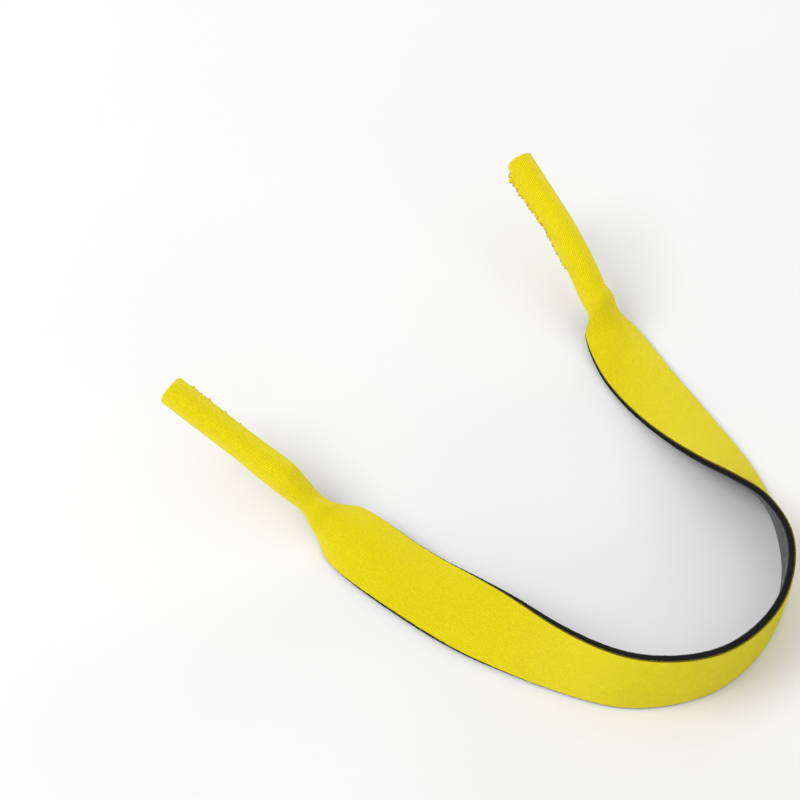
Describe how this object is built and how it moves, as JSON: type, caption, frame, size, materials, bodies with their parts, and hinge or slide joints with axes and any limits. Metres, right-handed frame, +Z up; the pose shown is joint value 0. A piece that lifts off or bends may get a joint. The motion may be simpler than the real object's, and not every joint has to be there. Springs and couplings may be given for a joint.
{
  "type": "eyeglass retainer strap",
  "caption": "Soft foam and knit retainer strap for eyeglasses: a flat strip bent in a U, gathered at two necks into stitched sleeves that grip the temple tips.",
  "frame": {"origin": "centre of the bounding box on the table plane", "axes": "+Y along the strap from the closed end of the U to the sleeve mouths, +Z up, +X across"},
  "size_m": [0.1546, 0.1678, 0.0362],
  "materials": {
    "yellow_knit": "fine jersey knit, matt with a soft sheen",
    "black_foam": "cut closed-cell foam, matt",
    "grey_knit": "fine jersey knit, matt",
    "seam_thread": "spun polyester thread"
  },
  "bodies": {
    "loop": {"loop_core": "black_foam", "loop_face": "yellow_knit", "loop_lining": "grey_knit", "left_bend_core": "black_foam", "left_bend_face": "yellow_knit", "left_bend_lining": "grey_knit", "right_bend_core": "black_foam", "right_bend_face": "yellow_knit", "right_bend_lining": "grey_knit"},
    "left_branch": {"left_branch_core": "black_foam", "left_branch_face": "yellow_knit", "left_branch_lining": "grey_knit", "left_neck_core": "black_foam", "left_neck_face": "yellow_knit", "left_neck_lining": "grey_knit"},
    "right_branch": {"right_branch_core": "black_foam", "right_branch_face": "yellow_knit", "right_branch_lining": "grey_knit", "right_neck_core": "black_foam", "right_neck_face": "yellow_knit", "right_neck_lining": "grey_knit"},
    "left_sleeve": {"left_sleeve_core": "black_foam", "left_sleeve_face": "yellow_knit", "left_sleeve_lining": "grey_knit", "left_seam_thread": "seam_thread"},
    "right_sleeve": {"right_sleeve_core": "black_foam", "right_sleeve_face": "yellow_knit", "right_sleeve_lining": "grey_knit", "right_seam_thread": "seam_thread"}
  },
  "joints": [
    {"name": "left_bend_flex", "type": "hinge", "parent": "loop", "child": "left_branch", "pos_m": [-0.0387, -0.0583, 0.0101], "axis": [0, 0, 1], "range_deg": [-12, 15], "stiffness_Nm_per_rad": 0.004, "deforming": ["left_bend_core", "left_bend_face", "left_bend_lining"]},
    {"name": "right_bend_flex", "type": "hinge", "parent": "loop", "child": "right_branch", "pos_m": [0.0325, -0.0686, 0.0102], "axis": [0, 0, -1], "range_deg": [-12, 15], "stiffness_Nm_per_rad": 0.004, "deforming": ["right_bend_core", "right_bend_face", "right_bend_lining"]},
    {"name": "left_neck_flex", "type": "hinge", "parent": "left_branch", "child": "left_sleeve", "pos_m": [-0.06, 0.0317, 0.0092], "axis": [0, 0, 1], "range_deg": [-25, 25], "stiffness_Nm_per_rad": 0.002, "deforming": ["left_neck_core", "left_neck_face", "left_neck_lining"]},
    {"name": "right_neck_flex", "type": "hinge", "parent": "right_branch", "child": "right_sleeve", "pos_m": [0.0616, 0.0316, 0.013], "axis": [0, 0, -1], "range_deg": [-25, 25], "stiffness_Nm_per_rad": 0.002, "deforming": ["right_neck_core", "right_neck_face", "right_neck_lining"]}
  ]
}
